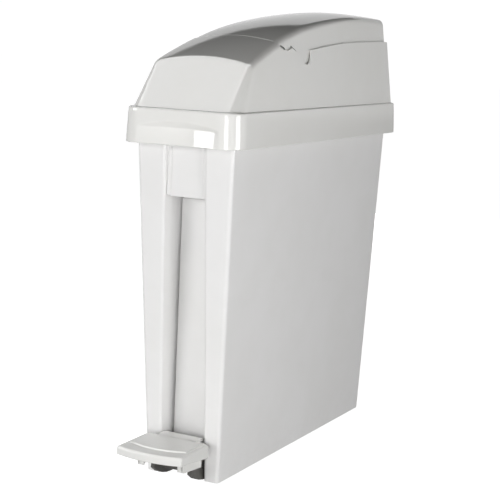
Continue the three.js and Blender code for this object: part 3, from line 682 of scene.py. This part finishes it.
def add_pedal_plate():
    def ring(z, inset):
        return level(pedal_outline(
            PEDAL_HALF - inset, PEDAL_REAR, PEDAL_FRONT_SIDE + inset, PEDAL_FRONT_MIDDLE + inset,
            max(PEDAL_CORNER - inset * 0.5, 1)), z)

    def lower_ring(inset, drop=0.0):
        """The skirt's lower edge, which falls towards the rear."""
        return [(x, y, np.interp(y, (-262, -217), (41, 35.5)) + drop) for x, y, _ in ring(41, inset)]

    def tread(z, grow):
        return level(pedal_outline(
            TREAD_HALF + grow, PEDAL_REAR, TREAD_FRONT_SIDE - grow, TREAD_FRONT_MIDDLE - grow,
            TREAD_CORNER), z)

    rings = [
        ring(49, 2.6), lower_ring(2.6, 0.4), lower_ring(2.1), lower_ring(0.5), lower_ring(0, 0.5),
        ring(47.6, 0), ring(49, 0.25), ring(50.1, 0.9), ring(50.75, 1.8), ring(51, 3),
        tread(51, 1.2), tread(51.15, 0.55), tread(51.75, 0), tread(52.3, -0.45), tread(52.5, -1.2),
    ]
    mesh = skin("pedal_plate_form", rings)
    shade(mesh, 40)
    piece = new_object("pedal_pad", mesh)
    weigh_normals(piece)
    finish_piece(piece, "pedal_plate", "pedal_plastic")
    arm = [
        (-250, 25.2), (-248.9, 23.9), (-209, 20.6), (-208, 21.4), (-208, 34),
        (-214, 40), (-214, 49.5), (-250, 49.5),
    ]
    shin = [(-250, 25.2), (-249.2, 24.2), (-247.5, 24), (-247.5, 49.5), (-250, 49.5)]
    for name, side in (("left", -1), ("right", 1)):
        add_pedal_bar(f"pedal_arm_{name}", arm, 27.6 * side, 30.6 * side)
        add_pedal_bar(f"pedal_shin_{name}", shin, 22.2 * side, 29.6 * side)
    tongue = [(-217, 49.2), (-197.5, 49.2), (-197.5, 52.5), (-217, 52.5)]
    add_pedal_bar("pedal_tongue", tongue, -26, 26)


def add_pedal_bar(name, profile, x0, x1):
    """A bar under or behind the pedal's plate, from an outline drawn in (y, z)."""
    bar = new_object(name, prism(name + "_form", profile, x0, x1))
    round_edges(bar, 0.5)
    shade(bar.data, 60)
    finish_extra(bar, "pedal", "pedal_plastic")


# ---- Other pieces ----------------------------------------------------------------------
BAIL_Y, BAIL_Z, BAIL_WIRE = 30, 407, 2  # the pins' place, and the wire's radius
BAIL_REACH, BAIL_HALF, BAIL_TIP, BAIL_BEND = 60, 46, 55.6, 9


def add_bail():
    """The liner's wire handle, lying flat: its route is drawn as (x, distance behind the pins)."""
    data = bpy.data.curves.new("bail_path", "CURVE")
    data.dimensions = "3D"
    data.bevel_depth = BAIL_WIRE * MM
    data.bevel_resolution = 6
    data.use_fill_caps = True
    y, z, reach, half, tip, bend = BAIL_Y, BAIL_Z, BAIL_REACH, BAIL_HALF, BAIL_TIP, BAIL_BEND
    route = [(-tip, 0), (-half - 3, 0), (-half - 1, 0.4), (-half, 3), (-half, reach - bend)]
    route += [(-half + 2.6, reach - 2.6), (bend - half, reach)]
    route += [(half - bend, reach), (half - 2.6, reach - 2.6)]
    route += [(half, reach - bend), (half, 3), (half + 1, 0.4), (half + 3, 0), (tip, 0)]
    line = data.splines.new("POLY")
    line.points.add(len(route) - 1)
    for point, (x, dy) in zip(line.points, route):
        point.co = (*at((x, y + dy, z)), 1)
    wire = new_object("bail_wire", data)
    data.materials.append(MATERIALS["steel"])
    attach(wire, "bail")
    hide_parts("liner_bail")


ROUNDED = {  # CAD nodes kept as they are with rounded edges: slot, edge width in mm, steps round it
    "rod_cover_strip": ("cover_plastic", 0.9, 3),
    "channel_head_panel": ("cover_plastic", 0.8, 3),
    "liner_bucket": ("liner_plastic", 0.5, 2),
    "pedal_lever": ("dark_plastic", 0.6, 2),
    "rod_shoe": ("dark_plastic", 0.8, 3),
    "rocker_bracket": ("dark_plastic", 0.4, 2),
    "rocker_lever": ("dark_plastic", 0.4, 2),
    "flap_crank": ("dark_plastic", 0.4, 2),
    "rod_guide_lower": ("guide_plastic", 0.6, 2),
    "rod_guide_upper": ("guide_plastic", 0.6, 2),
    "rod_cap": ("guide_plastic", 1.0, 3),
    "rocker_roller": ("guide_plastic", 0.5, 2),
    "push_rod": ("steel", 0.4, 2),
    "pedal_axle": ("steel", 0.4, 2),
    "rocker_axle": ("steel", 0.4, 2),
    "roller_pin": ("steel", 0.3, 2),
}
for side in ("left", "right"):
    ROUNDED[f"pedal_bracket_{side}"] = ("dark_plastic", 0.7, 3)
    ROUNDED[f"pivot_bracket_{side}"] = ("dark_plastic", 0.4, 2)
    ROUNDED[f"bail_boss_{side}"] = ("liner_plastic", 0.4, 2)
    ROUNDED[f"flap_bumper_{side}"] = ("rubber", 0.8, 3)
    ROUNDED[f"flap_pivot_pin_{side}"] = ("steel", 0.4, 2)
    ROUNDED[f"bracket_screw_{side}"] = ("steel", 0.5, 3)
    ROUNDED[f"crank_screw_{side}"] = ("steel", 0.5, 3)
    for end in ("front", "rear"):
        ROUNDED[f"foot_{end}_{side}"] = ("rubber", 1.2, 3)
        ROUNDED[f"hood_screw_{end}_{side}"] = ("steel", 0.5, 3)


FLANGE_IN, FLANGE_OUT = 21, 25.6  # beside the head panel, out to the channel's walls
STRIP_FOOT, STRIP_SPREAD = 45.5, 0.036 / 284.5  # widening of the cover strip per mm above its foot


def add_panel_flanges():
    """Thin flanges that fill the channel beside the head panel, a little behind its face."""
    profile = [(-212.8, 334.6), (-212.8, 392.4), (-210.8, 392.4), (-210.8, 334.6)]
    add_bin_plate("panel_flange_left", profile, -FLANGE_OUT, -FLANGE_IN)
    add_bin_plate("panel_flange_right", profile, FLANGE_IN, FLANGE_OUT)


def add_bin_plate(name, profile, x0, x1):
    """A thin part of the channel's covers, from an outline drawn in (y, z)."""
    plate = new_object(name, prism(name + "_form", profile, x0, x1))
    shade(plate.data, 40)
    finish_extra(plate, "bin", "cover_plastic")


def fit_cover_strip():
    """The strip keeps its width upwards, and a narrow backed groove crosses it under the head panel."""
    piece = bpy.data.objects["rod_cover_strip_piece"]
    for vertex in piece.data.vertices:
        vertex.co.x *= 1 + STRIP_SPREAD * (vertex.co.z / MM - STRIP_FOOT)
    carve(piece, prism("slot", [(-190, 328), (-190, 330.7), (-170, 330.7), (-170, 328)]))
    backing = [(-176.6, 325), (-176.6, 334), (-175.4, 334), (-175.4, 325)]
    add_bin_plate("strip_joint", backing, -23.2, 23.2)


# ---- Studio ----------------------------------------------------------------------------
HORIZON_TOP = math.sin(math.radians(23.7))  # the pale backdrop's upper edge, as seen from the bin


FLOOR_HALF, FLOOR_DROP = 14, 0.0002  # m: the floor's half width, and how far it lies under the feet
FLOOR_SEEN, FLOOR_LIT = (0.99, 0.3), (0.36, 0.2)  # its glow and its colour, to the camera and to the bin
BACKDROP_SEEN = 1.02
AIM_TOP = 0.75  # m: a softbox above this height is aimed down to it


def add_floor():
    """A pale floor that looks white, and gives the bin less light than its look would."""
    form = bmesh.new()
    bmesh.ops.create_grid(form, x_segments=2, y_segments=2, size=FLOOR_HALF)
    mesh = bpy.data.meshes.new("floor")
    form.to_mesh(mesh)
    form.free()
    floor = new_object("floor", mesh)
    floor.location.z = -FLOOR_DROP
    material = bpy.data.materials.new("floor")
    material.use_nodes = True
    tree = material.node_tree
    tree.nodes.clear()

    def grey(kind, value):
        made = tree.nodes.new(kind)
        made.inputs["Color"].default_value = (value, value, value, 1)
        return made.outputs[0]

    def glowing(glow, colour):
        both = tree.nodes.new("ShaderNodeAddShader")
        tree.links.new(grey("ShaderNodeEmission", glow), both.inputs[0])
        tree.links.new(grey("ShaderNodeBsdfDiffuse", colour), both.inputs[1])
        return both.outputs["Shader"]

    seen, lit = glowing(*FLOOR_SEEN), glowing(*FLOOR_LIT)
    path = tree.nodes.new("ShaderNodeLightPath")
    choose = tree.nodes.new("ShaderNodeMixShader")
    tree.links.new(path.outputs["Is Camera Ray"], choose.inputs["Fac"])
    tree.links.new(lit, choose.inputs[1])
    tree.links.new(seen, choose.inputs[2])
    output = tree.nodes.new("ShaderNodeOutputMaterial")
    tree.links.new(choose.outputs["Shader"], output.inputs["Surface"])
    mesh.materials.append(material)


def add_world():
    """A pale backdrop below the horizon's upper edge and a dark room above it."""
    world = bpy.data.worlds.new("studio")
    scene.world = world
    world.use_nodes = True
    tree = world.node_tree
    tree.nodes.clear()
    link = tree.links.new
    place = tree.nodes.new("ShaderNodeTexCoord")
    split = tree.nodes.new("ShaderNodeSeparateXYZ")
    link(place.outputs["Generated"], split.inputs["Vector"])

    def band(low, high, from_low, from_high):
        made = tree.nodes.new("ShaderNodeMapRange")
        made.inputs["From Min"].default_value = from_low
        made.inputs["From Max"].default_value = from_high
        made.inputs["To Min"].default_value = low
        made.inputs["To Max"].default_value = high
        link(split.outputs["Z"], made.inputs["Value"])
        return made.outputs["Result"]

    path = tree.nodes.new("ShaderNodeLightPath")

    def choose(ray, otherwise, value):
        made = tree.nodes.new("ShaderNodeMix")
        made.data_type = "FLOAT"
        link(path.outputs[ray], made.inputs[0])
        for socket, source in ((made.inputs[2], otherwise), (made.inputs[3], value)):
            if isinstance(source, float):
                socket.default_value = source
            else:
                link(source, socket)
        return made.outputs[0]

    diffuse = band(0.37, 0.01, HORIZON_TOP - 0.1, HORIZON_TOP + 0.05)
    glossy = band(0.88, 0.02, HORIZON_TOP - 0.006, HORIZON_TOP + 0.006)
    strength = choose("Is Camera Ray", choose("Is Glossy Ray", diffuse, glossy), BACKDROP_SEEN)
    background = tree.nodes.new("ShaderNodeBackground")
    background.inputs["Color"].default_value = (1, 1, 1, 1)
    link(strength, background.inputs["Strength"])
    output = tree.nodes.new("ShaderNodeOutputWorld")
    link(background.outputs["Background"], output.inputs["Surface"])


def area_light(name, width, height, power, place):
    data = bpy.data.lights.new(name, "AREA")
    data.shape = "RECTANGLE"
    data.size, data.size_y = width, height
    data.energy = power
    light = bpy.data.objects.new(name, data)
    light.location = place
    scene.collection.objects.link(light)
    return light


def add_softbox(name, azimuth, distance, middle, width, height, power, serves="both"):
    """A softbox at an azimuth counted to the right of the bin's front, which faces the bin.

    It serves as diffuse light, as a reflection ("gloss"), or as both.
    """
    turn = math.radians(azimuth)
    place = Vector((math.sin(turn) * distance, -math.cos(turn) * distance, middle))
    light = area_light(name, width, height, power, place)
    target = Vector((0, 0, min(middle, AIM_TOP)))
    light.rotation_euler = (target - place).to_track_quat("-Z", "Y").to_euler()
    light.visible_glossy = serves != "diffuse"
    light.visible_diffuse = serves != "gloss"


def add_ceiling_card():
    """A pale card over the bin's front left, seen only as a reflection in the lid's front facet."""
    light = area_light("ceiling_card", 4.8, 2.2, 150, (-1.8, -0.4, 2.6))
    light.visible_diffuse = False


def add_pedal_spot():
    """A small soft spot from high at the left, which only reaches the pedal and the floor round it."""
    data = bpy.data.lights.new("pedal_spot", "SPOT")
    data.energy = 18
    data.spot_size, data.spot_blend = math.radians(15), 1.0
    data.shadow_soft_size = 0.12
    light = bpy.data.objects.new("pedal_spot", data)
    light.location = (-0.15, -0.75, 1.1)
    aim = at((0, -255, 45)) - light.location
    light.rotation_euler = aim.to_track_quat("-Z", "Y").to_euler()
    light.visible_glossy = False
    scene.collection.objects.link(light)


def add_studio():
    scene.view_settings.view_transform = "Standard"
    scene.view_settings.look = "None"
    add_floor()
    add_world()
    add_softbox("softbox_left", -25, 2.4, 0.75, 0.95, 0.6, 16, serves="diffuse")
    add_softbox("grip_card", -54, 2.4, 0.78, 1.25, 0.5, 20, serves="gloss")
    add_softbox("strip_front", 20.5, 2.6, 0.3, 0.8, 0.7, 16.5)
    add_softbox("side_card", 80, 2.2, 0.3, 0.8, 0.7, 18, serves="gloss")
    add_softbox("softbox_right", 62, 1.13, 0.22, 0.3, 0.5, 4.05, serves="diffuse")
    add_softbox("fill_rear", 197, 2.4, 0.25, 0.9, 0.5, 13, serves="diffuse")
    add_softbox("fill_left", -102, 2.4, 0.25, 0.9, 0.5, 11, serves="diffuse")
    add_ceiling_card()
    add_pedal_spot()


add_camera()
add_tub()
add_band()
add_hood()
add_flap()
add_pedal_plate()
add_bail()
for node, (slot_name, width, segments) in ROUNDED.items():
    rounded_copy(node, slot_name, width, segments)
add_panel_flanges()
fit_cover_strip()
add_studio()
